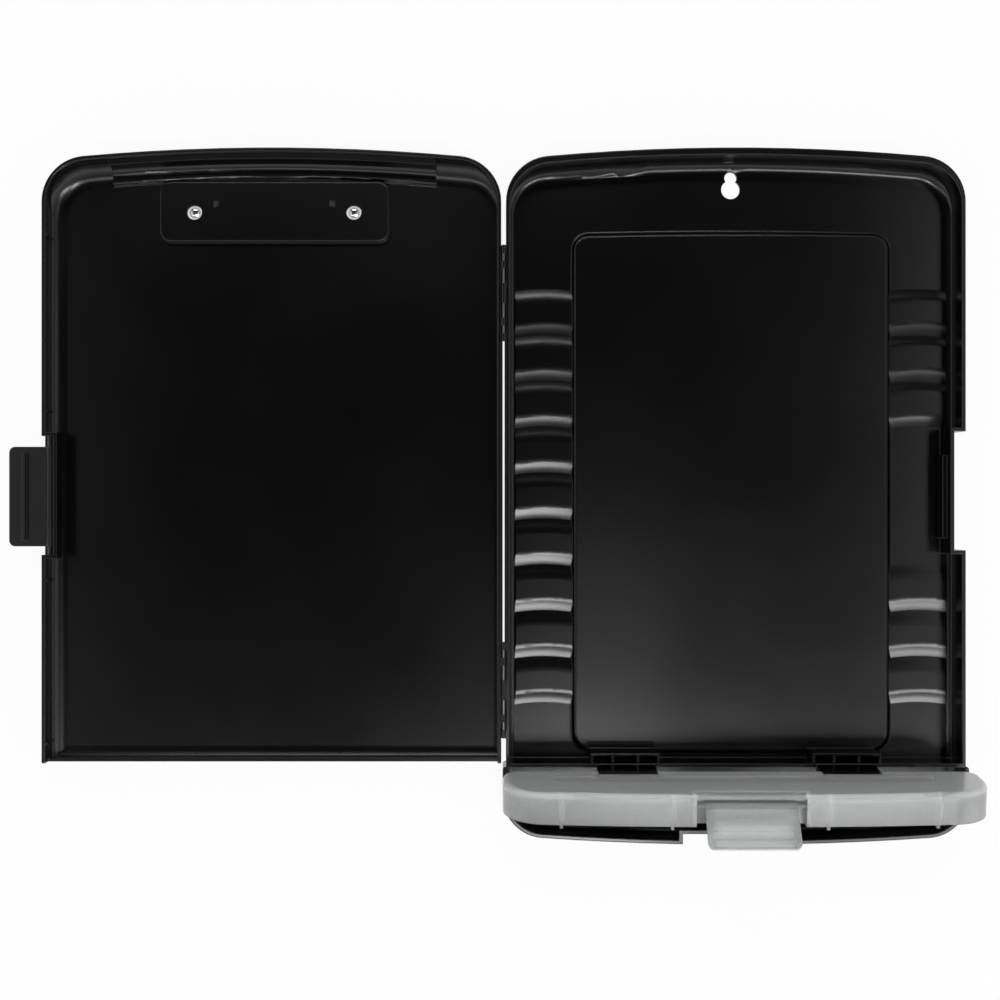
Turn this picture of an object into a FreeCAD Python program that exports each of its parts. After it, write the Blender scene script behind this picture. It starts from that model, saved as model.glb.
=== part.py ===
import FreeCAD, Part
import math
import os
from FreeCAD import Vector

# Storage clipboard box: a shallow tray and a hinged lid of the same plan, with a supply
# compartment along the tray's lower end under a clear door of its own.
# Millimetres. X runs across the tray, Y towards its upper end, Z up from its underside.
# Every piece is built with the box shut, and is then swung to the open pose it rests in.

# Plan of tray and lid
width = 241.1
upper_end = 182.1
lower_end = 183.6
end_bow = 6.6
corner_radius = 24.0
wall = 2.0
edge_round = 2.2
rim_round = 0.45
overrun = 5.0
touch = 0.0001

# Tray
tray_depth = 20.5
tray_floor = 2.2
tray_cove = 6.0
tray_cove_shift = 3.0
tray_end_wall = 3.9
partition_face = -141.0
partition = 2.0

# Supply compartment at the lower end
chin_step = 1.75
chin_bow = 5.0
chin_start = -142.7
chin_corner = 22.0
chin_shoulder = 1.6
chin_cove = 3.0

# Raised writing panel on the tray's floor
panel_half = 86.2
panel_top = 141.9
panel_bottom = -139.3
panel_rise = 2.2
panel_bow = 1.2
panel_upper_corner = 10.0
panel_lower_corner = 13.0
panel_flank = 3.4

# Relief under the panel, in four fields between a ring and a cross that the tray stands on
relief_inset = 4.0
relief_cross_half = 7.0
relief_corner = 6.0

# Cross ridges in the two side channels
ridge_pitch = 24.65
ridge_first = 97.7
ridge_count = 9
ridge_rise = 1.0
ridge_length = 24.4
ridge_slope = math.radians(13.0)
ridge_foot_slope = math.radians(4.0)
ridge_hollow = 3.2
ridge_brow = 2.4
ridge_arch = 1.2
ridge_end_round = 0.8
ridge_inner = 84.4
ridge_outer = 115.9
ridge_gap_first = 3
ridge_gap_last = 5

# Wall-hanging keyhole
keyhole_y = 163.7
keyhole_radius = 5.0
keyslot_radius = 3.3
keyslot_up = 6.2

# Lid
shut_gap = 0.15
lid_depth = 16.0
lid_plate = 2.0
lid_end = -140.9
lid_end_drop = 5.8
lid_cove = 12.0
lid_cove_free_side = 7.5
lid_cove_hinge_side = 2.0
lid_cove_low_end = 5.0
lid_band_half = 86.0
lid_band_edge = 165.5
lid_band_rise = 1.2
lid_band_round = 0.8
liner_foot = 15.2
liner_slope = 2.9
liner_rise = 2.2
liner_face = 5.5
liner_cove = 5.0
liner_rim_gap = 1.5
side_rib_places = (136.0, 44.0, -45.0, -130.5)
side_rib_width = 1.2
side_rib_rise = 1.0

# Main hinge between tray and lid
hinge_reach = 1.25
hinge_centre = 1.6
hinge_half_pitch = 104.0
knuckle_radius = 1.1
knuckle_middle_half = 5.2
knuckle_inner_from = 12.9
knuckle_inner_to = 16.9
knuckle_outer_from = 20.9
knuckle_outer_to = 25.2
hinge_pin_radius = 0.5
hinge_pin_clear = 0.05
hinge_pin_cap = 0.9
rail_half = 129.2
rail_reach = 0.75
rail_drop = 1.5
rail_height = 9.0

# Recess for the clip in the lid's outer face
seat_half = 59.2
seat_centre = 150.5
seat_length = 28.8
seat_depth = 4.5
seat_floor = 1.6
seat_corner = 4.0
pad_round = 0.8

# Clip
sheet = 0.8
clip_side_margin = 3.0
clip_plate_margin = 1.6
clip_plate_corner = 3.0
clip_rise = 4.2
clip_overhang_share = 0.88
jaw_tip = 129.5
jaw_gap = 0.3
jaw_bend = 134.2
clip_back = 164.0
clip_back_drop = 1.1
clip_bend_start = 158.0
bend_radius = 1.4
pin_radius = 1.2
pin_clear = 0.05
pin_over_ear = 2.5
ear_inset = 4.3
ear_width = 7.0
ear_over_pin = 2.2
flange_gap = 0.5
flange_drop = 1.9
wire = 1.2
coil_radius = 2.85
coil_pitch = 1.78
coil_turns = 6
spring_leg = 7.0
spring_seat_gap = 0.05

# Rivets of the clip
rivet_pitch_share = 0.715
rivet_y = 150.0
rivet_shank = 2.0
rivet_clear = 0.05
rivet_head = 3.95
rivet_head_height = 1.5
rivet_bore = 1.1
rivet_flange = 3.2
rivet_flange_height = 0.5
rivet_root = 0.4

# Locating pegs of the clip's plate, in holes of the lid
peg_inset = 11.4
peg_y = 154.7
peg_radius = 1.1
peg_clear = 0.55
peg_out = 0.3

# Notch in the sides for the lid latch
tray_notch_centre = 2.0
lid_notch_centre = -0.4
notch_half = 31.2
notch_depth = 6.1
lid_notch_height = 6.5
catch_half = 22.0
catch_depth = 1.4
catch_play = 0.5
catch_boss = 2.4
catch_boss_half_height = 4.5

# Lid latch
latch_centre = -1.0
latch_half = 26.2
latch_pivot_in = 3.8
latch_pivot_up = 2.75
latch_barrel = 1.9
latch_plate = 2.0
latch_reach = 21.5
latch_hook_at = 13.3
latch_hook_length = 2.9
latch_hook_thick = 1.7
latch_corner = 3.2
latch_stub = 1.2
latch_stub_in = 1.7
latch_clear = 0.06
latch_grip = 3.4
latch_grip_rise = 1.2
latch_grip_round = 0.9
latch_grip_end = 0.9
latch_hook_slope = 0.55

# Door of the supply compartment
door_wall = 1.6
door_plate = 2.0
door_edge = -142.9
door_edge_corner = 8.0
door_corner_round = 2.6
door_axis_y = -146.5
door_axis_down = 3.4
door_groove_half = 97.0
door_groove_y = -156.4
door_groove_half_width = 4.6
door_groove_corner = 4.4
door_groove_depth = 0.6
tongue_places = (-93.3, -38.5, 38.5, 93.3)
tongue_width = 1.5
tongue_depth = 4.6
tongue_drop = 2.5
tongue_clear = 0.3

# Hinge lugs of the door
lug_near = 42.4
lug_far = 72.9
lug_radius = 2.8
lug_notch_gap = 0.35
lug_side_gap = 0.2
lug_foot = 4.2
ear_thick = 2.2
ear_gap = 0.3
ear_radius = 2.6
ear_neck_half = 2.0
stub_radius = 1.25
stub_length = 5.0
stub_clear = 0.05
housing_places = (40.8, 51.4, 64.5, 75.4)
housing_front = -135.6
housing_wall = 1.3

# Notch and latch of the door
door_notch_half = 27.1
front_notch_half = 27.8
front_notch_depth = 5.7
door_notch_top = 2.0
door_latch_half = 22.75
door_latch_down = 6.4
door_latch_in = 3.2
door_latch_barrel = 1.7
door_latch_plate = 2.0
door_latch_reach = 22.5
door_latch_hook_at = 12.0
door_latch_hook_length = 2.9
door_latch_hook_thick = 1.6
door_latch_corner = 3.2
door_latch_stub = 1.1
door_latch_grip = 4.3
door_latch_grip_rise = 1.1

# Open pose: how far each piece is swung from shut
lid_swing = 180.0
lid_latch_swing = 90.0
door_swing = 83.0
door_latch_swing = 41.0

# Worked-out places
half = width / 2
chin_half = half + chin_step
bow_radius = (half ** 2 + end_bow ** 2) / (2 * end_bow)
chin_bow_radius = (half ** 2 + chin_bow ** 2) / (2 * chin_bow)
lid_rim = tray_depth + shut_gap
lid_top = lid_rim + lid_depth
hinge_x = -(half + hinge_reach)
hinge_z = tray_depth + shut_gap / 2
seat_z = lid_top - seat_depth
clip_plate_z = seat_z + sheet
clip_plate_half = seat_half - clip_side_margin
clip_half = seat_half * clip_overhang_share
rivet_half_pitch = seat_half * rivet_pitch_share
peg_half_pitch = rivet_half_pitch - peg_inset
ear_half = rivet_half_pitch - ear_inset
pin_half = ear_half + pin_over_ear
clip_top = lid_top + clip_rise
clip_pivot_y = seat_centre
clip_pivot_z = clip_plate_z + spring_seat_gap + wire / 2 + coil_radius
latch_x = half - latch_pivot_in
latch_z = lid_rim + latch_pivot_up
door_axis_z = lid_top - door_axis_down
door_latch_y = -(lower_end - door_latch_in)
door_latch_z = lid_top - door_latch_down


def corner_path(half_width, end, arc, corner, way):
    """Side point, middle and end point of one rounded corner of a plan outline."""
    if arc:
        middle_y = end - way * arc
        centre_y = middle_y + way * math.sqrt((arc - corner) ** 2 - (half_width - corner) ** 2)
    else:
        middle_y = 0
        centre_y = end - way * corner
    centre_x = half_width - corner
    if arc:
        share = arc / (arc - corner)
        tip = (centre_x * share, middle_y + (centre_y - middle_y) * share)
    else:
        tip = (centre_x, end)
    if not corner:
        return (half_width, centre_y), None, tip
    lean_x = 1 + (tip[0] - centre_x) / corner
    lean_y = (tip[1] - centre_y) / corner
    size = math.hypot(lean_x, lean_y)
    crown = (centre_x + corner * lean_x / size, centre_y + corner * lean_y / size)
    return (half_width, centre_y), crown, tip


def plan(half_width, top, top_arc, top_corner, bottom, bottom_arc, bottom_corner, z):
    """Face of a plan outline with straight sides and straight or bowed ends."""
    up = corner_path(half_width, top, top_arc, top_corner, 1)
    low = corner_path(half_width, bottom, bottom_arc, bottom_corner, -1)

    def at(point, side):
        return Vector(side * point[0], point[1], z)

    edges = [Part.LineSegment(at(low[0], 1), at(up[0], 1)).toShape()]
    for points, arc, end, side in ((up, top_arc, top, 1), (low, bottom_arc, bottom, -1)):
        if points[1]:
            edges.append(Part.Arc(at(points[0], side), at(points[1], side), at(points[2], side)).toShape())
        if arc:
            edges.append(Part.Arc(at(points[2], side), Vector(0, end, z), at(points[2], -side)).toShape())
        else:
            edges.append(Part.LineSegment(at(points[2], side), at(points[2], -side)).toShape())
        if points[1]:
            edges.append(Part.Arc(at(points[2], -side), at(points[1], -side), at(points[0], -side)).toShape())
        if side > 0:
            edges.append(Part.LineSegment(at(up[0], -1), at(low[0], -1)).toShape())
    return Part.Face(Part.Wire(edges))


def block(x0, x1, y0, y1, z0, z1):
    """Box between two corners."""
    return Part.makeBox(x1 - x0, y1 - y0, z1 - z0, Vector(x0, y0, z0))


def rod(radius, start, along, length):
    """Cylinder from a start point along a direction."""
    return Part.makeCylinder(radius, length, start, along)


def flat_edges(shape, z):
    """Edges of a shape that lie at one height."""
    found = []
    for edge in shape.Edges:
        box = edge.BoundBox
        if abs(box.ZMin - z) < touch and abs(box.ZMax - z) < touch:
            found.append(edge)
    return found


def upright_edges(shape):
    """Upright straight edges of a shape."""
    return [edge for edge in shape.Edges if edge.BoundBox.XLength < touch and edge.BoundBox.YLength < touch]


def fused(shapes):
    """One solid out of overlapping ones."""
    return shapes[0].multiFuse(shapes[1:]).removeSplitter()


def side_profile(points, x0, x1):
    """Solid with a straight-sided profile in Y and Z, between two places across."""
    wire_points = [Vector(x0, y, z) for y, z in points]
    return Part.Face(Part.makePolygon(wire_points + wire_points[:1])).extrude(Vector(x1 - x0, 0, 0))


def strip(points, radius, thickness):
    """Face of a bent sheet's cross-section: straight runs with rounded bends, in 2D."""
    sides = ([], [])
    last = len(points) - 1
    for index, point in enumerate(points):
        here = Vector(point[0], point[1], 0)
        before = here - Vector(*points[index - 1], 0) if index else None
        after = Vector(*points[index + 1], 0) - here if index < last else None
        run_in = (before or after).normalize()
        run_out = (after or before).normalize()
        turn = math.atan2(run_in.cross(run_out).z, run_in.dot(run_out))
        for side, way in zip(sides, (1, -1)):
            normal_in = Vector(-run_in.y, run_in.x, 0) * way
            normal_out = Vector(-run_out.y, run_out.x, 0) * way
            if abs(turn) < touch:
                side.append([here + normal_in * (thickness / 2)])
                continue
            back = radius * math.tan(abs(turn) / 2)
            centre = here - run_in * back + Vector(-run_in.y, run_in.x, 0) * math.copysign(radius, turn)
            own = radius - way * math.copysign(thickness / 2, turn)
            first = centre + normal_in * (own * -way * math.copysign(1, turn))
            final = centre + normal_out * (own * -way * math.copysign(1, turn))
            middle = centre + (first + final - centre * 2).normalize() * own
            side.append([first, middle, final])
    edges = []
    left, right = sides
    for chain in (left, [corner[::-1] for corner in right[::-1]]):
        for index, corner in enumerate(chain):
            if index:
                edges.append(Part.LineSegment(chain[index - 1][-1], corner[0]).toShape())
            if len(corner) > 1:
                edges.append(Part.Arc(*corner).toShape())
    edges.append(Part.LineSegment(left[-1][0], right[-1][0]).toShape())
    edges.append(Part.LineSegment(right[0][0], left[0][0]).toShape())
    return Part.Face(Part.Wire(Part.sortEdges(edges)[0]))


def upright_strip(points, thickness, x0, x1):
    """Bent sheet with its cross-section in Y and Z, between two places across."""
    face = strip(points, bend_radius, thickness)
    face.rotate(Vector(0, 0, 0), Vector(1, 0, 0), 90)
    face.rotate(Vector(0, 0, 0), Vector(0, 0, 1), 90)
    return face.extrude(Vector(x1 - x0, 0, 0)).translated(Vector(x0, 0, 0))


def shell_plan(half_width, inset, top, bottom, arcs, corners, z):
    """Plan outline drawn in by one wall."""
    top_arc = bow_radius - inset if arcs[0] else 0
    bottom_arc = chin_bow_radius - inset if arcs[1] else 0
    top_corner = max(corners[0] - inset, 0)
    bottom_corner = max(corners[1] - inset, 0)
    return plan(half_width - inset, top - inset, top_arc, top_corner,
                bottom + inset, bottom_arc, bottom_corner, z)


def flare(narrow, wide):
    """Slanted ring between two outlines: it breaks the inner edge of a rim."""
    return Part.makeLoft([narrow.OuterWire, wide.OuterWire], True, True)


def tray_prism(inset, bottom, z0, z1):
    """Upper part of the tray's plan, square at its lower side."""
    face = shell_plan(half, inset, upper_end, bottom - inset, (True, False), (corner_radius, 0), z0)
    return face.extrude(Vector(0, 0, z1 - z0))


def tray_room_plan(side_grow, end_grow, bottom, z):
    """Plan of the tray's paper room, whose upper wall is thicker than the side walls."""
    end_inset = tray_end_wall - end_grow
    return plan(half - wall + side_grow, upper_end - end_inset, bow_radius - end_inset,
                corner_radius - wall + side_grow, bottom, 0, 0, z)


def chin_prism(inset, top, shoulder, z0, z1):
    """Compartment's plan, rounded at its lower end."""
    face = shell_plan(chin_half, inset, top + inset, -lower_end, (False, True), (shoulder, chin_corner), z0)
    return face.extrude(Vector(0, 0, z1 - z0))


def flank_edges(foot, way, flank, rise, base):
    """Two tangent arcs from a foot up to a crown, and the points at their ends, in Y and Z."""
    turn = 2 * math.atan(rise / flank)
    radius = flank / (2 * math.sin(turn))
    out = radius * math.sin(turn / 2)
    up = radius * (1 - math.cos(turn / 2))
    low = Vector(0, foot, base)
    low_mid = Vector(0, foot - way * out, base + up)
    bend = Vector(0, foot - way * flank / 2, base + rise / 2)
    high_mid = Vector(0, foot - way * (flank - out), base + rise - up)
    high = Vector(0, foot - way * flank, base + rise)
    return [Part.Arc(low, low_mid, bend).toShape(), Part.Arc(bend, high_mid, high).toShape()], low, high


def slope_arc(start, run, slope_from, slope_to):
    """Arc in Y and Z that runs towards -Y while its slope changes, and its end."""
    mean = (slope_from + slope_to) / 2
    end = start + Vector(0, -run, run * math.tan(mean))
    sag = run / math.cos(mean) / 2 * math.tan((slope_to - slope_from) / 4)
    middle = (start + end) / 2 - Vector(0, math.sin(mean), math.cos(mean)) * sag
    return Part.Arc(start, middle, end).toShape(), end


def ridge(centre_y, x0, x1):
    """Broad low ridge across a side channel: a flat crown between two soft slopes, arched a little in plan."""
    middle_x = (x0 + x1) / 2
    chord = (x1 - x0) / 2
    arc = (chord ** 2 + ridge_arch ** 2) / (2 * ridge_arch)
    crown = tray_floor + ridge_rise
    sink = tray_floor / 2
    rear_brow = (ridge_rise - ridge_hollow * math.tan((ridge_foot_slope + ridge_slope) / 2)) / math.tan(ridge_slope / 2)
    front_hollow = ((ridge_rise - ridge_brow * math.tan(ridge_slope / 2))
                    / math.tan((ridge_foot_slope + ridge_slope) / 2))
    foot = Vector(0, arc + ridge_length / 2, tray_floor)
    rise_low, bend = slope_arc(foot, ridge_hollow, ridge_foot_slope, ridge_slope)
    rise_high, back = slope_arc(bend, rear_brow, ridge_slope, 0)
    toe = Vector(0, arc - ridge_length / 2, tray_floor)
    front = Vector(0, toe.y + front_hollow + ridge_brow, crown)
    fall_high, bend = slope_arc(front, ridge_brow, 0, -ridge_slope)
    fall_low, toe = slope_arc(bend, front_hollow, -ridge_slope, -ridge_foot_slope)
    roots = [Vector(0, foot.y, sink), Vector(0, toe.y, sink)]
    lines = [Part.LineSegment(a, b).toShape()
             for a, b in ((back, front), (toe, roots[1]), (roots[1], roots[0]), (roots[0], foot))]
    profile = Part.Face(Part.Wire(Part.sortEdges([rise_low, rise_high, fall_high, fall_low] + lines)[0]))
    half_turn = math.degrees(math.asin((chord + ridge_brow) / (arc - ridge_length / 2)))
    profile.rotate(Vector(0, 0, 0), Vector(0, 0, 1), -half_turn)
    bar = profile.revolve(Vector(0, 0, 0), Vector(0, 0, 1), 2 * half_turn)
    bar = bar.translated(Vector(middle_x, centre_y - arc + ridge_arch / 2, 0))
    trim = block(x0, x1, centre_y - ridge_length, centre_y + ridge_length, sink, crown)
    ends = [edge for edge in flat_edges(trim, crown) if edge.BoundBox.XLength < touch]
    return bar.common(trim.makeFillet(ridge_end_round, ends))


def raised_panel():
    """Raised field on the tray's floor, with a soft flank all round."""
    arc = (panel_half ** 2 + panel_bow ** 2) / (2 * panel_bow)
    sink = tray_floor / 2
    inner = plan(panel_half - panel_flank, panel_top - panel_flank, arc - panel_flank,
                 panel_upper_corner - panel_flank, panel_bottom + panel_flank, 0,
                 panel_lower_corner - panel_flank, sink)
    core = inner.extrude(Vector(0, 0, tray_floor + panel_rise - sink))
    start_x = panel_half - panel_flank
    curves, low, high = flank_edges(panel_flank, 1, panel_flank, panel_rise, tray_floor)
    root = Vector(0, low.y, sink)
    heart = Vector(0, -panel_flank / 2, sink)
    top = Vector(0, heart.y, high.z)
    lines = [Part.LineSegment(a, b).toShape() for a, b in ((low, root), (root, heart), (heart, top), (top, high))]
    profile = Part.Wire(Part.sortEdges(curves + lines)[0])
    profile.rotate(Vector(0, 0, 0), Vector(0, 0, 1), -90)
    profile.translate(Vector(start_x, 0, 0))
    rim = inner.OuterWire
    path = Part.Wire(Part.sortEdges(rim.Edges)[0])
    ring = path.makePipeShell([profile], True, False)
    return [core, ring]


def knuckles(spans, centre, low, high, solid_side):
    """Hinge knuckles on one shell: barrels with a short web to the shell's side wall."""
    made = []
    for start, end in spans:
        barrel = rod(knuckle_radius, Vector(hinge_x, centre + start, hinge_z), Vector(0, 1, 0), end - start)
        made.append(barrel.fuse(block(hinge_x, solid_side, centre + start, centre + end, low, high)))
    return made


def rail(edge, way, low, high):
    """Low rib on a hinge-side wall, over the length of both hinges."""
    near, far = sorted((edge - way * wall / 2, edge + way * rail_reach))
    return block(near, far, hinge_centre - rail_half, hinge_centre + rail_half, low, high)


def hinge_bore(centre):
    """Space for one hinge pin."""
    reach = knuckle_outer_to - hinge_pin_cap
    start = Vector(hinge_x, centre - reach, hinge_z)
    return rod(hinge_pin_radius + hinge_pin_clear, start, Vector(0, 1, 0), 2 * reach)


hinge_centres = (hinge_centre + hinge_half_pitch, hinge_centre - hinge_half_pitch)
tray_spans = ((-knuckle_outer_to, -knuckle_outer_from), (-knuckle_middle_half, knuckle_middle_half),
              (knuckle_outer_from, knuckle_outer_to))
lid_spans = ((-knuckle_inner_to, -knuckle_inner_from), (knuckle_inner_from, knuckle_inner_to))


def make_tray():
    """Tray with its supply compartment, ridges, panel, notches and hinge parts."""
    upper = tray_prism(0, chin_start - wall, 0, tray_depth)
    upper = upper.makeFillet(edge_round, flat_edges(upper, 0))
    upper = upper.makeFillet(rim_round, flat_edges(upper, tray_depth))
    chin = chin_prism(0, chin_start, chin_shoulder, 0, tray_depth)
    chin = chin.makeFillet(edge_round, flat_edges(chin, 0))
    chin = chin.makeFillet(rim_round, flat_edges(chin, tray_depth))
    body = upper.fuse(chin).removeSplitter()

    soft = tray_room_plan(tray_cove_shift, 0, partition_face - 2 * tray_cove, tray_floor)
    soft = soft.extrude(Vector(0, 0, tray_depth))
    soft = soft.makeFillet(tray_cove, flat_edges(soft, tray_floor))
    room = tray_room_plan(0, 0, partition_face, tray_floor).extrude(Vector(0, 0, tray_depth + overrun)).common(soft)
    pocket = chin_prism(wall, partition_face - partition, 0, tray_floor, tray_depth + overrun)
    pocket = pocket.makeFillet(chin_cove, flat_edges(pocket, tray_floor))
    narrow = tray_room_plan(0, 0, partition_face, tray_depth - rim_round)
    wide = tray_room_plan(rim_round, rim_round, partition_face, tray_depth)
    body = body.cut(room.fuse(pocket)).cut(flare(narrow, wide))

    adds = raised_panel()
    for index in range(ridge_count):
        centre_y = ridge_first - index * ridge_pitch
        adds.append(ridge(centre_y, -ridge_outer, -ridge_inner))
        if not ridge_gap_first <= index <= ridge_gap_last:
            adds.append(ridge(centre_y, ridge_inner, ridge_outer))

    notch_x = half - notch_depth
    side = (tray_notch_centre - notch_half, tray_notch_centre + notch_half)
    adds.append(block(notch_x - wall, half - wall / 2, side[0] - wall, side[1] + wall, tray_floor / 2, tray_depth))
    hook_z = latch_z - latch_hook_at
    adds.append(block(notch_x - wall - catch_boss, notch_x - wall / 2,
                      latch_centre - catch_half, latch_centre + catch_half,
                      hook_z - catch_boss_half_height, hook_z + catch_boss_half_height))
    front = -(lower_end - front_notch_depth)
    adds.append(block(-front_notch_half - wall, front_notch_half + wall,
                      front - wall / 2, front + wall, tray_floor / 2, tray_depth))
    for way in (-1, 1):
        adds.append(block(*sorted((way * front_notch_half, way * (front_notch_half + wall))),
                          -lower_end + wall, front + wall, tray_floor / 2, tray_depth))
        for place in housing_places:
            x = way * place
            adds.append(block(x - housing_wall / 2, x + housing_wall / 2,
                              partition_face - wall / 2, housing_front, tray_floor / 2, tray_depth))
        reach = sorted((way * housing_places[0], way * housing_places[-1]))
        adds.append(block(reach[0] - housing_wall / 2, reach[1] + housing_wall / 2,
                          housing_front - housing_wall, housing_front, tray_floor / 2, tray_depth))
        foot_back = partition_face
        foot_front = partition_face - lug_foot
        sink = tray_depth - wall
        web = side_profile(((foot_back, sink), (foot_front, sink), (door_axis_y - lug_radius, door_axis_z),
                            (door_axis_y + lug_radius, door_axis_z)), way * lug_near, way * lug_far)
        top = rod(lug_radius, Vector(way * lug_near, door_axis_y, door_axis_z), Vector(way, 0, 0),
                  lug_far - lug_near)
        adds.append(web.fuse(top))
    for centre in hinge_centres:
        adds += knuckles(tray_spans, centre, hinge_z - knuckle_radius, tray_depth, -half + wall / 2)
    adds.append(rail(-half, -1, tray_depth - rail_drop - rail_height, tray_depth - rail_drop))
    body = fused([body] + adds)

    cuts = [hinge_bore(centre) for centre in hinge_centres]
    notch = block(notch_x, half + chin_step + overrun, side[0], side[1], -overrun, tray_depth + overrun)
    cuts.append(notch)
    cuts.append(block(notch_x - catch_depth, notch_x + wall, latch_centre - latch_half - catch_play,
                      latch_centre + latch_half + catch_play, hook_z - latch_hook_thick / 2 - catch_play,
                      hook_z + latch_hook_thick / 2 + catch_play))
    cuts.append(block(-front_notch_half, front_notch_half, -lower_end - overrun, front, -overrun,
                      tray_depth + overrun))
    front_hook_z = door_latch_z - door_latch_hook_at
    cuts.append(block(-door_latch_half - catch_play, door_latch_half + catch_play, front - wall,
                      front + catch_depth, front_hook_z - door_latch_hook_thick / 2 - catch_play,
                      front_hook_z + door_latch_hook_thick / 2 + catch_play))
    for way in (-1, 1):
        for start in (lug_near - overrun, lug_far - stub_length - stub_clear):
            cuts.append(rod(stub_radius + stub_clear, Vector(way * start, door_axis_y, door_axis_z),
                            Vector(way, 0, 0), stub_length + stub_clear + overrun))
    reach_x = panel_half - relief_inset
    for x0, x1 in ((-reach_x, -relief_cross_half), (relief_cross_half, reach_x)):
        for y0, y1 in ((panel_bottom + relief_inset, -relief_cross_half),
                       (relief_cross_half, panel_top - panel_bow - relief_inset)):
            field = block(x0, x1, y0, y1, -overrun, panel_rise)
            cuts.append(field.makeFillet(relief_corner, upright_edges(field)))
    cuts.append(rod(keyhole_radius, Vector(0, keyhole_y, -overrun), Vector(0, 0, 1), tray_depth))
    cuts.append(rod(keyslot_radius, Vector(0, keyhole_y + keyslot_up, -overrun), Vector(0, 0, 1), tray_depth))
    return body.cut(cuts[0].multiFuse(cuts[1:]))


def lid_liner(inside):
    """Thicker part of the lid's upper wall: it ends in a cove, a low shelf and a soft step down to the plate."""
    foot = bow_radius - liner_foot
    curves, low, high = flank_edges(foot, -1, liner_slope, liner_rise, 0)
    face = bow_radius - liner_face
    deep = lid_plate / 2
    rim = inside - lid_rim - liner_rim_gap
    cove_foot = Vector(0, face - liner_cove, liner_rise)
    cove_end = Vector(0, face, liner_rise + liner_cove)
    cove_middle = Vector(0, face - liner_cove * (1 - math.sin(math.pi / 4)),
                         liner_rise + liner_cove * (1 - math.cos(math.pi / 4)))
    runs = [high, cove_foot], [cove_end, Vector(0, face, rim), Vector(0, bow_radius - wall / 2, rim),
                               Vector(0, bow_radius - wall / 2, -deep), Vector(0, foot, -deep), low]
    edges = curves + [Part.Arc(cove_foot, cove_middle, cove_end).toShape()]
    for run in runs:
        edges += [Part.LineSegment(a, b).toShape() for a, b in zip(run, run[1:])]
    profile = Part.Face(Part.Wire(Part.sortEdges(edges)[0]))
    half_turn = math.degrees((lid_band_half + overrun) / foot)
    profile.rotate(Vector(0, 0, 0), Vector(0, 1, 0), 180)
    profile.rotate(Vector(0, 0, 0), Vector(0, 0, 1), -half_turn)
    liner = profile.revolve(Vector(0, 0, 0), Vector(0, 0, 1), 2 * half_turn)
    liner = liner.translated(Vector(0, upper_end - bow_radius, inside))
    return liner.common(block(-lid_band_half, lid_band_half, upper_end / 2, upper_end, lid_rim, lid_top))


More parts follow.
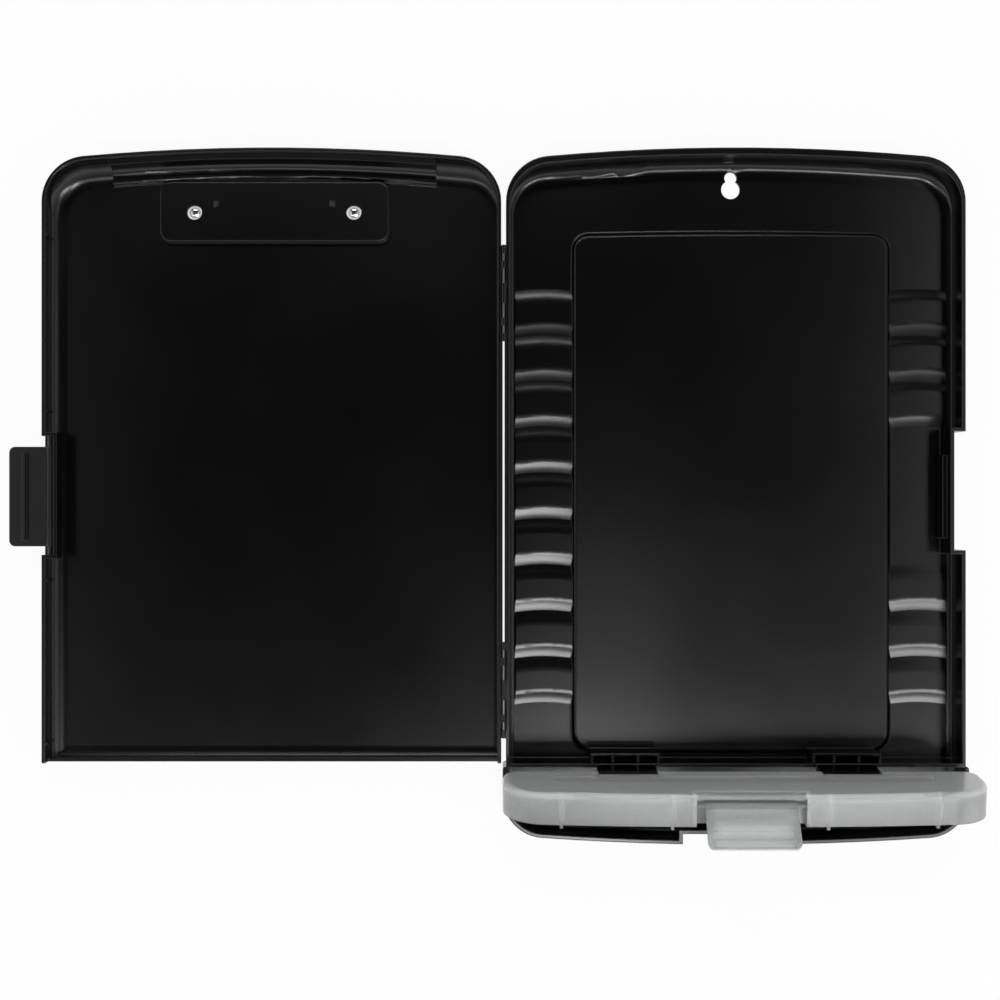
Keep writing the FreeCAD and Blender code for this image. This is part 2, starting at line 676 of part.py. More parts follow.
def make_lid():
    """Lid, shut: a shallow shell with the clip's recess sunk into its outer face."""
    outer = tray_prism(0, lid_end, lid_rim, lid_top)
    outer = outer.makeFillet(edge_round, flat_edges(outer, lid_top))
    outer = outer.makeFillet(rim_round, flat_edges(outer, lid_rim))
    inside = lid_top - lid_plate
    room = tray_prism(wall, lid_end + wall, lid_rim - overrun, inside)
    free_grow = lid_cove - lid_cove_free_side
    hinge_grow = lid_cove - lid_cove_hinge_side
    grow = (free_grow + hinge_grow) / 2
    soft = plan(half - wall + grow, upper_end - wall, bow_radius - wall, corner_radius - wall + grow,
                lid_end + wall - lid_cove + lid_cove_low_end, 0, 0, lid_rim - overrun)
    soft = soft.extrude(Vector(0, 0, inside - lid_rim + overrun)).translated(Vector(free_grow - grow, 0, 0))
    room = room.common(soft.makeFillet(lid_cove, flat_edges(soft, inside)))
    upper = shell_plan(half, wall, upper_end, lid_end, (True, False), (corner_radius, 0), lid_rim + rim_round)
    lower = shell_plan(half, wall - rim_round, upper_end, lid_end, (True, False), (corner_radius, 0), lid_rim)
    body = outer.cut(room).cut(flare(upper, lower))

    adds = []
    under = seat_z - seat_floor
    seat_y0 = seat_centre - seat_length / 2
    seat_y1 = seat_centre + seat_length / 2
    pad = plan(seat_half + seat_floor, seat_y1 + seat_floor, 0, seat_corner + seat_floor,
               seat_y0 - seat_floor, 0, seat_corner + seat_floor, under)
    pad = pad.extrude(Vector(0, 0, lid_top - lid_plate / 2 - under))
    pad = pad.makeFillet(pad_round, flat_edges(pad, under))
    adds.append(pad)
    band = tray_prism(wall / 2, lid_end, inside - lid_band_rise, inside + lid_plate / 2)
    shelf = block(-lid_band_half, lid_band_half, lid_band_edge, upper_end, inside - lid_band_rise, lid_top)
    shelf = shelf.makeFillet(lid_band_round, [edge for edge in flat_edges(shelf, inside - lid_band_rise)
                                              if edge.BoundBox.YMin < lid_band_edge + touch])
    adds.append(band.common(shelf))
    adds.append(lid_liner(inside))
    for place in side_rib_places:
        adds.append(block(half - wall - side_rib_rise, half - wall / 2, place - side_rib_width / 2,
                          place + side_rib_width / 2, lid_rim, inside + lid_plate / 2))
    notch_x = half - notch_depth
    side = (lid_notch_centre - notch_half, lid_notch_centre + notch_half)
    roof = lid_rim + lid_notch_height
    adds.append(block(notch_x - wall, half - wall / 2, side[0] - wall, side[1] + wall, lid_rim, roof + wall))
    for centre in hinge_centres:
        adds += knuckles(lid_spans, centre, lid_rim, hinge_z + knuckle_radius, -half + wall / 2)
    adds.append(rail(-half, -1, lid_rim + rail_drop, lid_rim + rail_drop + rail_height))
    body = fused([body] + adds)

    cuts = [hinge_bore(centre) for centre in hinge_centres]
    recess = plan(seat_half, seat_y1, 0, seat_corner, seat_y0, 0, seat_corner, seat_z)
    cuts.append(recess.extrude(Vector(0, 0, seat_depth + overrun)))
    cuts.append(block(notch_x, half + overrun, side[0], side[1], lid_rim - overrun, roof))
    cuts.append(block(-half + wall, half - wall, lid_end - overrun, lid_end + wall + overrun,
                      lid_rim - overrun, lid_rim + lid_end_drop))
    bore_from = min(side[0] - latch_stub_in, latch_centre - latch_half)
    bore_to = max(side[1] + latch_stub_in, latch_centre + latch_half)
    cuts.append(rod(latch_stub + latch_clear, Vector(latch_x, bore_from, latch_z), Vector(0, 1, 0),
                    bore_to - bore_from))
    for way in (-1, 1):
        cuts.append(rod(rivet_shank + rivet_clear, Vector(way * rivet_half_pitch, rivet_y, under - overrun),
                        Vector(0, 0, 1), overrun + seat_floor + overrun))
        cuts.append(rod(peg_radius + peg_clear, Vector(way * peg_half_pitch, peg_y, under - overrun),
                        Vector(0, 0, 1), overrun + seat_floor + overrun))
    body = body.cut(cuts[0].multiFuse(cuts[1:]))
    return body


def latch_blank(half_length, centre, barrel, plate, reach, corner, hook, hook_thick, hook_length,
                grip, grip_rise, stub, stub_to):
    """Flap latch in its own frame: pivot along Y at the origin, plate hanging down, hook towards -X."""
    outer = barrel
    inner = barrel - plate
    body = block(inner, outer, centre - half_length, centre + half_length, -reach, 0)
    body = body.makeFillet(corner, [edge for edge in body.Edges
                                    if edge.BoundBox.YLength < touch and edge.BoundBox.ZLength < touch
                                    and edge.BoundBox.ZMax < -reach / 2])
    pivot = rod(barrel, Vector(0, centre - half_length, 0), Vector(0, 1, 0), 2 * half_length)
    low = -hook - hook_thick / 2
    high = -hook + hook_thick / 2
    tip = inner - hook_length
    outline = [(inner + plate / 2, low - hook_thick / 2), (inner, low - hook_thick / 2),
               (tip, low + latch_hook_slope),
               (tip, high), (inner + plate / 2, high)]
    points = [Vector(x, centre - half_length + corner, z) for x, z in outline]
    ridge_solid = Part.Face(Part.makePolygon(points + points[:1])).extrude(
        Vector(0, 2 * (half_length - corner), 0))
    lip = block(outer - plate / 2, outer + grip_rise, centre - half_length + corner,
                centre + half_length - corner, -reach + latch_grip_end, -reach + grip)
    lip = lip.makeFillet(latch_grip_round, [edge for edge in lip.Edges
                                           if edge.BoundBox.XMin > outer + grip_rise - touch
                                           and edge.BoundBox.YLength > grip])
    stubs = rod(stub, Vector(0, stub_to[0], 0), Vector(0, 1, 0), stub_to[1] - stub_to[0])
    return fused([body, pivot, ridge_solid, lip, stubs])


def make_lid_latch():
    """Flap latch in the lid's side notch, shut: it hangs down over the tray's notch."""
    stub_to = (lid_notch_centre - notch_half - latch_stub_in + latch_clear,
               lid_notch_centre + notch_half + latch_stub_in - latch_clear)
    latch = latch_blank(latch_half, latch_centre, latch_barrel, latch_plate, latch_reach, latch_corner,
                        latch_hook_at, latch_hook_thick, latch_hook_length, latch_grip, latch_grip_rise,
                        latch_stub, stub_to)
    return latch.translated(Vector(latch_x, 0, latch_z))


def make_door_latch():
    """Flap latch in the door's front notch, shut: it hangs down over the tray's front notch."""
    reach = door_notch_half + door_wall - latch_clear
    latch = latch_blank(door_latch_half, 0, door_latch_barrel, door_latch_plate, door_latch_reach,
                        door_latch_corner, door_latch_hook_at, door_latch_hook_thick,
                        door_latch_hook_length, door_latch_grip, door_latch_grip_rise,
                        door_latch_stub, (-reach, reach))
    latch.rotate(Vector(0, 0, 0), Vector(0, 0, 1), -90)
    return latch.translated(Vector(0, door_latch_y, door_latch_z))


def door_prism(inset, top, z0, z1):
    """Door's plan, drawn in by one wall except at the hinge side."""
    face = shell_plan(chin_half, inset, top + inset, -lower_end, (False, True),
                      (door_edge_corner, chin_corner), z0)
    return face.extrude(Vector(0, 0, z1 - z0))


def make_door():
    """Clear door of the compartment, shut: plate, skirt, tongues, ears and latch notch."""
    outer = door_prism(0, door_edge, lid_rim, lid_top)
    outer = outer.makeFillet(door_corner_round, flat_edges(outer, lid_top))
    inside = lid_top - door_plate
    face = shell_plan(chin_half, door_wall, door_edge + overrun + door_wall, -lower_end, (False, True),
                      (0, chin_corner), lid_rim - overrun)
    room = face.extrude(Vector(0, 0, inside - lid_rim + overrun))
    room = room.makeFillet(door_wall / 2, flat_edges(room, inside))
    body = outer.cut(room)
    for way in (-1, 1):
        near, far = sorted((way * (lug_near - lug_side_gap), way * (lug_far + lug_side_gap)))
        body = body.cut(block(near, far, door_axis_y - lug_radius - lug_notch_gap, door_edge + overrun,
                              door_axis_z, lid_top + overrun))

    adds = []
    notch_y = -(lower_end - front_notch_depth)
    frame = block(-door_notch_half - door_wall, door_notch_half + door_wall, -lower_end,
                  notch_y + door_wall, lid_rim, inside + door_plate / 2)
    adds.append(frame.common(door_prism(door_wall / 2, door_edge, lid_rim, lid_top)))
    drawn_in = door_prism(wall + tongue_clear, door_edge, lid_rim - tongue_drop, lid_rim + wall)
    for place in tongue_places:
        low_x = place - tongue_width / 2
        high_x = place + tongue_width / 2
        tip_y = -lower_end + chin_bow_radius - math.sqrt(chin_bow_radius ** 2 - place ** 2)
        upper = block(low_x, high_x, -lower_end, tip_y + tongue_depth, lid_rim, inside + door_plate / 2)
        adds.append(upper.common(door_prism(door_wall / 2, door_edge, lid_rim, lid_top)))
        lower = block(low_x, high_x, -lower_end, tip_y + tongue_depth, lid_rim - tongue_drop, lid_rim + wall)
        adds.append(lower.common(drawn_in))
    for way in (-1, 1):
        for near, far in ((lug_near - ear_gap - ear_thick, lug_near - ear_gap),
                          (lug_far + ear_gap, lug_far + ear_gap + ear_thick)):
            ear = rod(ear_radius, Vector(way * near, door_axis_y, door_axis_z), Vector(way, 0, 0), far - near)
            neck = block(*sorted((way * near, way * far)), door_axis_y - ear_neck_half,
                         door_axis_y + ear_neck_half, door_axis_z, inside + door_plate / 2)
            adds += [ear, neck]
        for start, aim in ((lug_near - ear_gap - ear_thick, 1), (lug_far + ear_gap + ear_thick, -1)):
            length = ear_thick + ear_gap + stub_length - stub_clear
            adds.append(rod(stub_radius, Vector(way * start, door_axis_y, door_axis_z),
                            Vector(way * aim, 0, 0), length))
    body = fused([body] + adds)

    cuts = []
    cuts.append(block(-door_notch_half, door_notch_half, -lower_end - overrun, notch_y, lid_rim - overrun,
                      lid_top - door_notch_top))
    groove = plan(door_groove_half, door_groove_y + door_groove_half_width, 0, door_groove_corner,
                  door_groove_y - door_groove_half_width, 0, door_groove_corner, lid_top - door_groove_depth)
    cuts.append(groove.extrude(Vector(0, 0, overrun)))
    reach = door_notch_half + door_wall + overrun
    cuts.append(rod(door_latch_stub + latch_clear, Vector(-reach, door_latch_y, door_latch_z),
                    Vector(1, 0, 0), 2 * reach))
    return body.cut(cuts[0].multiFuse(cuts[1:]))


def make_hinge_pin(centre):
    """Wire pin through the knuckles of one hinge."""
    reach = knuckle_outer_to - hinge_pin_cap - 2 * hinge_pin_clear
    return rod(hinge_pin_radius, Vector(hinge_x, centre - reach, hinge_z), Vector(0, 1, 0), 2 * reach)


def make_clip_plate():
    """Sheet plate riveted in the recess, with an ear at each side for the clip's pin."""
    y0 = seat_centre - seat_length / 2 + clip_plate_margin
    y1 = seat_centre + seat_length / 2 - clip_plate_margin
    plate = block(-clip_plate_half, clip_plate_half, y0, y1, seat_z, clip_plate_z)
    plate = plate.makeFillet(clip_plate_corner, upright_edges(plate))
    adds = []
    for way in (-1, 1):
        near, far = sorted((way * ear_half, way * (ear_half + sheet)))
        ear = block(near, far, clip_pivot_y - ear_width / 2, clip_pivot_y + ear_width / 2,
                    seat_z, clip_pivot_z)
        crown = rod(ear_width / 2, Vector(near, clip_pivot_y, clip_pivot_z), Vector(1, 0, 0), sheet)
        cap = block(near, far, clip_pivot_y - ear_width, clip_pivot_y + ear_width, seat_z,
                    clip_pivot_z + ear_over_pin)
        adds.append(ear.fuse(crown.common(cap)))
        adds.append(rod(peg_radius, Vector(way * peg_half_pitch, peg_y, seat_z - seat_floor - peg_out),
                        Vector(0, 0, 1), seat_floor + peg_out + sheet / 2))
    body = fused([plate] + adds)
    cuts = [rod(pin_radius + pin_clear, Vector(-clip_half, clip_pivot_y, clip_pivot_z), Vector(1, 0, 0),
                2 * clip_half)]
    for way in (-1, 1):
        cuts.append(rod(rivet_shank + rivet_clear, Vector(way * rivet_half_pitch, rivet_y, seat_z - overrun),
                        Vector(0, 0, 1), 2 * overrun))
    return body.cut(cuts[0].multiFuse(cuts[1:]))


def make_clip_lever():
    """Sprung jaw of the clip: one bent sheet with a flange at each side on the pin."""
    top = clip_top - sheet / 2
    tip_z = lid_top + jaw_gap + sheet / 2
    path = ((jaw_tip, tip_z), (jaw_bend, top), (clip_bend_start, top), (clip_back, top - clip_back_drop))
    body = upright_strip(path, sheet, -clip_half, clip_half)
    adds = []
    for way in (-1, 1):
        far = ear_half - flange_gap
        near, far = sorted((way * (far - sheet), way * far))
        width_y = ear_width / 2
        flange = block(near, far, clip_pivot_y - width_y, clip_pivot_y + width_y, clip_pivot_z, top)
        crown = rod(width_y, Vector(near, clip_pivot_y, clip_pivot_z), Vector(1, 0, 0), sheet)
        trim = block(near, far, clip_pivot_y - ear_width, clip_pivot_y + ear_width,
                     clip_pivot_z - flange_drop, top)
        adds.append(flange.fuse(crown.common(trim)))
    body = fused([body] + adds)
    hole = rod(pin_radius + pin_clear, Vector(-clip_half, clip_pivot_y, clip_pivot_z), Vector(1, 0, 0),
               2 * clip_half)
    return body.cut(hole)


def make_clip_pin():
    """Pivot pin of the clip."""
    return rod(pin_radius, Vector(-pin_half, clip_pivot_y, clip_pivot_z), Vector(1, 0, 0), 2 * pin_half)


def biarc(start, start_way, end, end_way):
    """Two tangent arcs between two points with given directions."""
    span = end - start
    both = start_way + end_way
    bend = 2 * (1 - start_way.dot(end_way))
    along = span.dot(both)
    reach = (-along + math.sqrt(along ** 2 + bend * span.dot(span))) / bend
    first = start + start_way * reach
    last = end - end_way * reach
    joint = (first + last) * 0.5
    arcs = []
    for a, b, peak in ((start, joint, first), (joint, end, last)):
        mid = (a + b) * 0.5
        rise = peak - mid
        angle = math.atan2(rise.Length, (b - a).Length / 2)
        arcs.append(Part.Arc(a, mid + rise * (math.tan(angle / 2) / math.tan(angle)), b).toShape())
    return arcs


def coil_point(turn):
    """Point of the clip spring's centre line, and its direction, after so many turns."""
    angle = 2 * math.pi * turn
    length = (coil_turns + 0.5) * coil_pitch
    point = Vector(coil_pitch * turn - length / 2, clip_pivot_y - coil_radius * math.sin(angle),
                   clip_pivot_z - coil_radius * math.cos(angle))
    way = Vector(coil_pitch / (2 * math.pi), -coil_radius * math.cos(angle), coil_radius * math.sin(angle))
    return point, way.normalize()


def make_clip_spring():
    """Torsion spring round the clip's pin, one unbroken wire with two straight legs."""
    quarters = 4 * coil_turns + 2
    stops = [coil_point(index / 4) for index in range(quarters + 1)]
    first, first_way = stops[0]
    last, last_way = stops[-1]
    edges = [Part.LineSegment(first - first_way * spring_leg, first).toShape()]
    for here, there in zip(stops, stops[1:]):
        edges += biarc(here[0], here[1], there[0], there[1])
    edges.append(Part.LineSegment(last, last + last_way * spring_leg).toShape())
    path = Part.Wire(edges)
    ring = Part.Wire(Part.makeCircle(wire / 2, first - first_way * spring_leg, first_way))
    tube = path.makePipeShell([ring], True, False)
    gap = self_gap(path)
    print("clip spring: least gap to itself %.2f mm" % gap)
    return tube


def self_gap(path):
    """Least gap between two turns of the spring's wire, measured on points."""
    samples = path.discretize(Distance=wire / 4)
    apart = int(math.pi * coil_radius / (wire / 4))
    least = None
    for index, point in enumerate(samples):
        for other in samples[index + apart:]:
            distance = point.distanceToPoint(other) - wire
            least = distance if least is None else min(least, distance)
    return least


def make_rivet(way):
    """Hollow rivet that holds the clip's plate in the lid's recess."""
    under = seat_z - seat_floor
    x = way * rivet_half_pitch
    head_low = under - rivet_head_height
    crown = (rivet_head ** 2 + rivet_head_height ** 2) / (2 * rivet_head_height)
    ball = Part.makeSphere(crown, Vector(x, rivet_y, head_low + crown))
    head = ball.common(rod(rivet_head, Vector(x, rivet_y, head_low), Vector(0, 0, 1), rivet_head_height))
    top = clip_plate_z + rivet_flange_height
    shank = rod(rivet_shank, Vector(x, rivet_y, under - rivet_root), Vector(0, 0, 1),
                top - under + rivet_root)
    flange = rod(rivet_flange, Vector(x, rivet_y, clip_plate_z), Vector(0, 0, 1), rivet_flange_height)
    bore = rod(rivet_bore, Vector(x, rivet_y, under), Vector(0, 0, 1), top - under + overrun)
    return fused([head, shank, flange]).cut(bore)


def opened(shape, group):
    """Swing a piece from shut to the open pose that it rests in."""
    moved = shape.copy()
    across = Vector(1, 0, 0)
    along = Vector(0, 1, 0)
    if group == "lid_latch":
        moved.rotate(Vector(latch_x, 0, latch_z), along, -lid_latch_swing)
    if group in ("lid", "lid_latch"):
        moved.rotate(Vector(hinge_x, 0, hinge_z), along, -lid_swing)
    if group == "door_latch":
        moved.rotate(Vector(0, door_latch_y, door_latch_z), across, -door_latch_swing)
    if group in ("door", "door_latch"):
        moved.rotate(Vector(0, door_axis_y, door_axis_z), across, -door_swing)
    return moved


def build():
    """Every piece with its name and the body it swings with."""
    pieces = {
        "base_tray": (make_tray(), "tray"),
        "hinge_pin_upper": (make_hinge_pin(hinge_centres[0]), "tray"),
        "hinge_pin_lower": (make_hinge_pin(hinge_centres[1]), "tray"),
        "lid": (make_lid(), "lid"),
        "clip_base_plate": (make_clip_plate(), "lid"),
        "clip_pivot_pin": (make_clip_pin(), "lid"),
        "clip_spring": (make_clip_spring(), "lid"),
        "clip_rivet_left": (make_rivet(-1), "lid"),
        "clip_rivet_right": (make_rivet(1), "lid"),
        "clip_lever": (make_clip_lever(), "lid"),
        "lid_latch": (make_lid_latch(), "lid_latch"),
        "supply_door": (make_door(), "door"),
        "door_latch": (make_door_latch(), "door_latch"),
    }
    return {name: opened(shape, group) for name, (shape, group) in pieces.items()}


os.makedirs("parts", exist_ok=True)
for name, shape in build().items():
    shape.exportStep("parts/%s.step" % name)
    print("%-18s solids %d valid %s volume %.1f" % (name, len(shape.Solids), shape.isValid(), shape.Volume))
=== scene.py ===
"""Storage clipboard box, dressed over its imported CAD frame. Lengths are in metres and colours are linear."""

import bpy
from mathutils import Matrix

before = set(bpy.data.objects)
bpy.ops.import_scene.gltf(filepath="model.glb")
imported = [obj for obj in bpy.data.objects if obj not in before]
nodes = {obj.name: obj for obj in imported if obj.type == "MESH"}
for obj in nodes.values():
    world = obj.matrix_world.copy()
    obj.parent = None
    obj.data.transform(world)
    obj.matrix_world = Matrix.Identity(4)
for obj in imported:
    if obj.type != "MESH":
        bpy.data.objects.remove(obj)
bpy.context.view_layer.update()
scene = bpy.context.scene

# Colours
SHELL_BLACK = (0.0006, 0.0006, 0.0007, 1.0)
LATCH_BLACK = (0.005, 0.005, 0.0052, 1.0)
CLEAR_PLASTIC = (0.92, 0.93, 0.93, 1.0)
NICKEL = (0.66, 0.65, 0.63, 1.0)
OILED_WIRE = (0.2, 0.2, 0.21, 1.0)
PAPER = (0.9, 0.9, 0.9, 1.0)
WHITE = (1.0, 1.0, 1.0, 1.0)

# The band in which most of a noise's values lie
NOISE_LOW = 0.3
NOISE_HIGH = 0.7


# Node helpers
def new_material(name):
    """A material with an empty tree that holds one Principled shader and its output."""
    mat = bpy.data.materials.new(name)
    mat.use_nodes = True
    tree = mat.node_tree
    tree.nodes.clear()
    out = tree.nodes.new("ShaderNodeOutputMaterial")
    bsdf = tree.nodes.new("ShaderNodeBsdfPrincipled")
    tree.links.new(bsdf.outputs["BSDF"], out.inputs["Surface"])
    return mat, tree, bsdf


def add(tree, kind, **values):
    """A node with its attributes set, and those of its inputs that are given as in_ and the input's name."""
    node = tree.nodes.new(kind)
    for key, value in values.items():
        if key.startswith("in_"):
            node.inputs[key[3:].replace("_", " ")].default_value = value
        else:
            setattr(node, key, value)
    return node


def object_point(tree):
    """The point in the object's own metres, which a joint doesn't change."""
    return add(tree, "ShaderNodeTexCoord").outputs["Object"]


def noise(tree, point, scale, detail=2.0):
    """Noise with its scale in cycles per metre."""
    node = add(tree, "ShaderNodeTexNoise", in_Scale=scale, in_Detail=detail, in_Roughness=0.5)
    tree.links.new(point, node.inputs["Vector"])
    return node.outputs["Fac"]


def spread(tree, value, low, high, new_low, new_high):
    """Map a value's range to another one."""
    node = add(tree, "ShaderNodeMapRange",
               in_From_Min=low, in_From_Max=high, in_To_Min=new_low, in_To_Max=new_high)
    tree.links.new(value, node.inputs["Value"])
    return node.outputs["Result"]


def rough_between(tree, bsdf, pattern, low, high):
    """Let the roughness follow a noise between two values."""
    tree.links.new(spread(tree, pattern, NOISE_LOW, NOISE_HIGH, low, high), bsdf.inputs["Roughness"])


def bump(tree, height, strength, distance, below=None):
    """The normal of a height map, laid over the normal of another one where that is given."""
    node = add(tree, "ShaderNodeBump", in_Strength=strength, in_Distance=distance)
    tree.links.new(height, node.inputs["Height"])
    if below is not None:
        tree.links.new(below, node.inputs["Normal"])
    return node.outputs["Normal"]


def arithmetic(tree, operation, first, second):
    """The result of a math node whose first input is linked and whose second is linked or a number."""
    node = add(tree, "ShaderNodeMath", operation=operation)
    tree.links.new(first, node.inputs[0])
    if isinstance(second, float):
        node.inputs[1].default_value = second
    else:
        tree.links.new(second, node.inputs[1])
    return node.outputs[0]


# Materials
GLOSS_PATCHES = 14.0        # cycles per metre of the slow changes in gloss
EDGE_RADIUS = 0.0007        # how widely the moulded edges look rounded
WAVES = 60.0                # cycles per metre of the slow waves in the surface
WAVE_HEIGHT = 0.00004
PEEL = 1400.0               # cycles per metre of the fine orange peel
PEEL_HEIGHT = 0.000004


def black_plastic(name, colour, rough_low, rough_high, unevenness, lean=0.0):
    """Moulded black plastic with a soft gloss, a faint orange peel and softened edges.

    A lean is the slope of a warp that only the shading has: it moves what a flat face mirrors.
    """
    mat, tree, bsdf = new_material(name)
    point = object_point(tree)
    bsdf.inputs["Base Color"].default_value = colour
    bsdf.inputs["IOR"].default_value = 1.5
    rough_between(tree, bsdf, noise(tree, point, GLOSS_PATCHES), rough_low, rough_high)
    worn_edge = add(tree, "ShaderNodeBevel", samples=6, in_Radius=EDGE_RADIUS)
    normal = bump(tree, noise(tree, point, WAVES), unevenness, WAVE_HEIGHT, worn_edge.outputs["Normal"])
    normal = bump(tree, noise(tree, point, PEEL), unevenness, PEEL_HEIGHT, normal)
    if lean:
        parts = add(tree, "ShaderNodeSeparateXYZ")
        tree.links.new(point, parts.inputs["Vector"])
        drop = arithmetic(tree, "MULTIPLY", parts.outputs["Y"], -lean)
        normal = bump(tree, drop, strength=1.0, distance=1.0, below=normal)
    tree.links.new(normal, bsdf.inputs["Normal"])
    return mat


WALL_PROBE = 0.005                  # how deep the shader looks for the far side of a wall
THIN_WALL = 0.15                    # the share of its rays that find none, in a thin wall
THICK_WALL = 0.55                   # the same in a thick one
THIN_CLEAR = 0.9                    # the share of light that a thin wall lets through
THICK_CLEAR = 0.2                   # the same for a thick one
STREAK_SCALE = (6.0, 90.0, 90.0)    # cycles per metre, so the streaks run along the door
STREAK_STRENGTH = 0.1
STREAK_HEIGHT = 0.00002
FROST_SMOOTH = 0.2
FROST_ROUGH = 0.26


def frosted_plastic(name):
    """Frosted clear polypropylene: thin walls let light and dark through, and thick ones turn milky."""
    mat, tree, bsdf = new_material(name)
    point = object_point(tree)
    bsdf.inputs["Base Color"].default_value = CLEAR_PLASTIC
    bsdf.inputs["IOR"].default_value = 1.49
    bsdf.inputs["Specular IOR Level"].default_value = 0.3
    depth = add(tree, "ShaderNodeAmbientOcclusion", inside=True, only_local=True, samples=8,
                in_Distance=WALL_PROBE)
    clear = spread(tree, depth.outputs["AO"], THIN_WALL, THICK_WALL, THIN_CLEAR, THICK_CLEAR)
    tree.links.new(clear, bsdf.inputs["Transmission Weight"])
    stretched = add(tree, "ShaderNodeMapping", in_Scale=STREAK_SCALE)
    tree.links.new(point, stretched.inputs["Vector"])
    streaks = noise(tree, stretched.outputs["Vector"], 1.0)
    rough_between(tree, bsdf, streaks, FROST_SMOOTH, FROST_ROUGH)
    tree.links.new(bump(tree, streaks, STREAK_STRENGTH, STREAK_HEIGHT), bsdf.inputs["Normal"])
    return mat


GRAIN_PER_PATCH = 6         # how many times finer a metal's grain is than its patches of polish
GRAIN_STRENGTH = 0.15
GRAIN_HEIGHT = 0.00001


def metal(name, colour, rough_low, rough_high, patches):
    """Plated metal with uneven polish, in a given number of patches per metre, and a fine grain."""
    mat, tree, bsdf = new_material(name)
    point = object_point(tree)
    bsdf.inputs["Base Color"].default_value = colour
    bsdf.inputs["Metallic"].default_value = 1.0
    rough_between(tree, bsdf, noise(tree, point, patches, detail=4.0), rough_low, rough_high)
    grain = noise(tree, point, patches * GRAIN_PER_PATCH)
    tree.links.new(bump(tree, grain, GRAIN_STRENGTH, GRAIN_HEIGHT), bsdf.inputs["Normal"])
    return mat


# The photo's lid mirrors the lamps further back than its tray does, as if it leaned by this slope.
LID_LEAN = 0.025

shell_gloss = {"rough_low": 0.2, "rough_high": 0.23, "unevenness": 0.3}
shell = black_plastic("black_shell_plastic", SHELL_BLACK, **shell_gloss)
lid_shell = black_plastic("black_lid_plastic", SHELL_BLACK, **shell_gloss, lean=LID_LEAN)
latch = black_plastic("black_latch_plastic", LATCH_BLACK, rough_low=0.24, rough_high=0.32, unevenness=0.4)
door = frosted_plastic("frosted_door_plastic")
clip = metal("nickel_plated_steel", NICKEL, rough_low=0.12, rough_high=0.2, patches=90.0)
wire = metal("dark_spring_steel", OILED_WIRE, rough_low=0.28, rough_high=0.4, patches=200.0)

LOOKS = {
    "base_tray": shell, "lid": lid_shell, "lid_latch": latch,
    "supply_door": door, "door_latch": door,
    "clip_base_plate": clip, "clip_lever": clip, "clip_pivot_pin": clip,
    "clip_rivet_left": clip, "clip_rivet_right": clip,
    "clip_spring": wire, "hinge_pin_upper": wire, "hinge_pin_lower": wire,
}
for name, mat in LOOKS.items():
    mesh = nodes[name].data
    mesh.materials.clear()
    mesh.materials.append(mat)

# Camera, looking straight down 760 mm above the rims, with the optical axis in the middle of the photograph
CAMERA_X = -0.1237
CAMERA_Y = -0.0028
CAMERA_Z = 0.7805
LENS_MM = 52.2
SENSOR_MM = 36.0
camera = bpy.data.objects.new("camera", bpy.data.cameras.new("camera"))
camera.location = (CAMERA_X, CAMERA_Y, CAMERA_Z)
camera.data.lens = LENS_MM
camera.data.sensor_width = SENSOR_MM
camera.data.clip_start = 0.01
camera.data.clip_end = 20.0
scene.collection.objects.link(camera)
scene.camera = camera

# Floor
FLOOR_HALF = 3.0
REAL_SHADE = 0.07       # the share of the floor's tone that is real light and shade


def background_material(name):
    """White as the camera, gloss and glass see it, apart from the share left to real shade."""
    mat, tree, bsdf = new_material(name)
    bsdf.inputs["Base Color"].default_value = PAPER
    bsdf.inputs["Roughness"].default_value = 0.9
    glow = add(tree, "ShaderNodeEmission", in_Strength=1.0)
    path = add(tree, "ShaderNodeLightPath")
    seen = arithmetic(tree, "MAXIMUM", path.outputs["Is Camera Ray"], path.outputs["Is Glossy Ray"])
    seen = arithmetic(tree, "MAXIMUM", seen, path.outputs["Is Transmission Ray"])
    share = arithmetic(tree, "MULTIPLY", seen, 1.0 - REAL_SHADE)
    mix = add(tree, "ShaderNodeMixShader")
    tree.links.new(share, mix.inputs[0])
    tree.links.new(bsdf.outputs["BSDF"], mix.inputs[1])
    tree.links.new(glow.outputs["Emission"], mix.inputs[2])
    out = next(n for n in tree.nodes if n.type == "OUTPUT_MATERIAL")
    tree.links.new(mix.outputs["Shader"], out.inputs["Surface"])
    return mat


corners = [(-FLOOR_HALF, -FLOOR_HALF, 0), (FLOOR_HALF, -FLOOR_HALF, 0),
           (FLOOR_HALF, FLOOR_HALF, 0), (-FLOOR_HALF, FLOOR_HALF, 0)]
floor_mesh = bpy.data.meshes.new("floor")
floor_mesh.from_pydata(corners, [], [(0, 1, 2, 3)])
floor_mesh.materials.append(background_material("pale_floor"))
floor = bpy.data.objects.new("floor", floor_mesh)
scene.collection.objects.link(floor)

# World
ROOM_LOW = 0.3          # the upward part of a ray's direction at which the room starts to darken
ROOM_HIGH = 0.85        # the same where it is darkest
ROOM_BRIGHT = 1.2       # the room's strength round the horizon
ROOM_DIM = 0.02         # and overhead


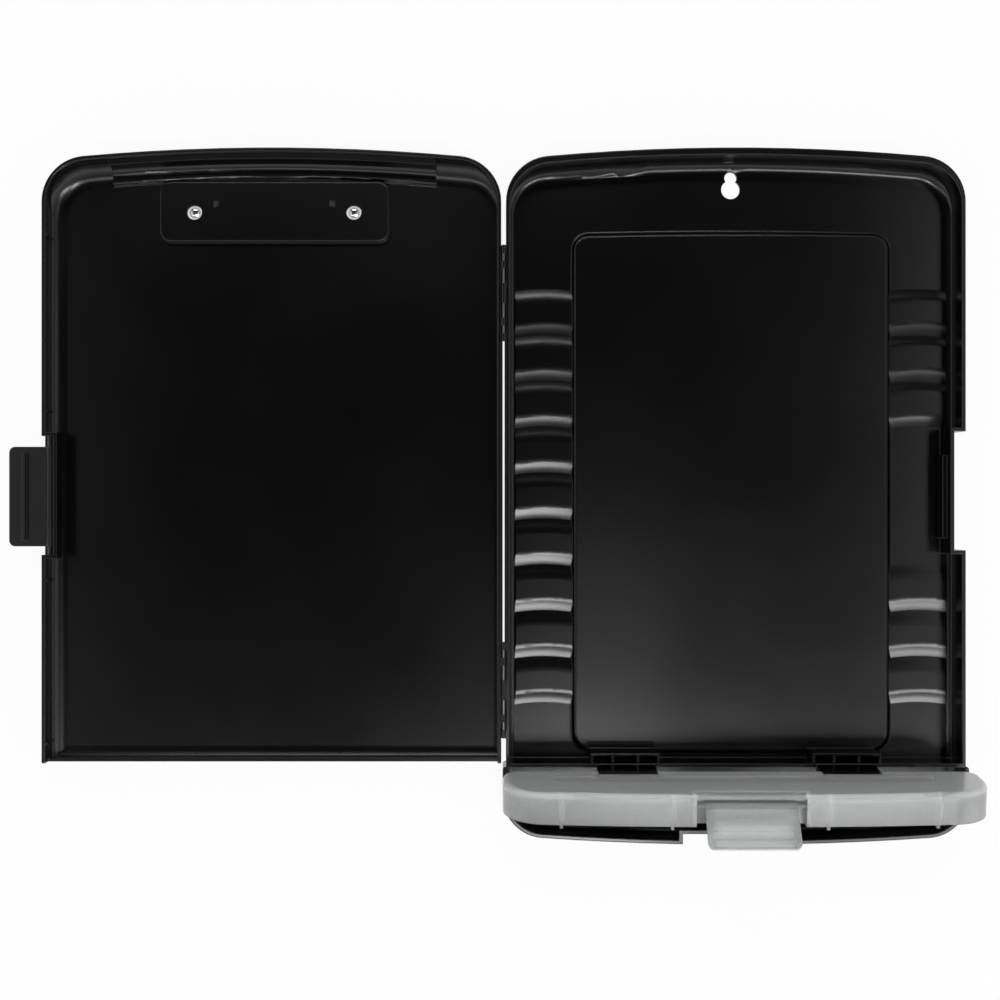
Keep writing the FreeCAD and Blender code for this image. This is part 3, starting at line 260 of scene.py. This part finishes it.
def studio_world(name):
    """White to the camera, and to other rays a room that is bright round the horizon and dim overhead."""
    world = bpy.data.worlds.new(name)
    world.use_nodes = True
    tree = world.node_tree
    tree.nodes.clear()
    out = tree.nodes.new("ShaderNodeOutputWorld")
    way = add(tree, "ShaderNodeSeparateXYZ")
    tree.links.new(add(tree, "ShaderNodeTexCoord").outputs["Generated"], way.inputs["Vector"])
    room = add(tree, "ShaderNodeBackground", in_Color=WHITE)
    strength = spread(tree, way.outputs["Z"], ROOM_LOW, ROOM_HIGH, ROOM_BRIGHT, ROOM_DIM)
    tree.links.new(strength, room.inputs["Strength"])
    plain = add(tree, "ShaderNodeBackground", in_Color=WHITE, in_Strength=1.0)
    path = add(tree, "ShaderNodeLightPath")
    mix = add(tree, "ShaderNodeMixShader")
    tree.links.new(path.outputs["Is Camera Ray"], mix.inputs[0])
    tree.links.new(room.outputs[0], mix.inputs[1])
    tree.links.new(plain.outputs[0], mix.inputs[2])
    tree.links.new(mix.outputs[0], out.inputs["Surface"])
    return world


scene.world = studio_world("studio")

# Lamps
LAMP_HEIGHT = 1.5
CAMERA_TO_FLATS = 0.77      # from the camera down to the flat faces in the box
REACH = LAMP_HEIGHT + CAMERA_TO_FLATS
WATTS_PER_RADIANCE = 4.0    # for each square metre of an area lamp


def softbox(name, across, along, radiance):
    """A level lamp, placed by the slopes at which the camera would see its edges in a level mirror.

    across holds the slopes of its left and right edges, and along those of its front and back edges.
    """
    wide = (across[1] - across[0]) * REACH
    deep = (along[1] - along[0]) * REACH
    data = bpy.data.lights.new(name, "AREA")
    data.shape = "RECTANGLE"
    data.size = wide
    data.size_y = deep
    data.energy = WATTS_PER_RADIANCE * radiance * wide * deep
    lamp = bpy.data.objects.new(name, data)
    lamp.location = (CAMERA_X + sum(across) / 2 * REACH, CAMERA_Y + sum(along) / 2 * REACH, LAMP_HEIGHT)
    scene.collection.objects.link(lamp)


softbox("softbox_key", across=(0.008, 0.108), along=(-0.34, -0.205), radiance=16.0)
softbox("softbox_key_fade", across=(0.03, 0.11), along=(-0.16, -0.02), radiance=0.6)
softbox("softbox_front_right", across=(0.18, 0.5), along=(-0.37, -0.235), radiance=9.5)
softbox("softbox_front_left", across=(-0.45, -0.07), along=(-0.34, -0.22), radiance=2.4)
softbox("softbox_back", across=(-0.28, 0.2), along=(0.42, 0.5), radiance=8.0)
softbox("softbox_right", across=(0.3, 0.42), along=(-0.19, 0.25), radiance=0.9)
softbox("softbox_left", across=(-0.6, -0.36), along=(-0.25, 0.25), radiance=0.8)

scene.view_settings.view_transform = "Standard"
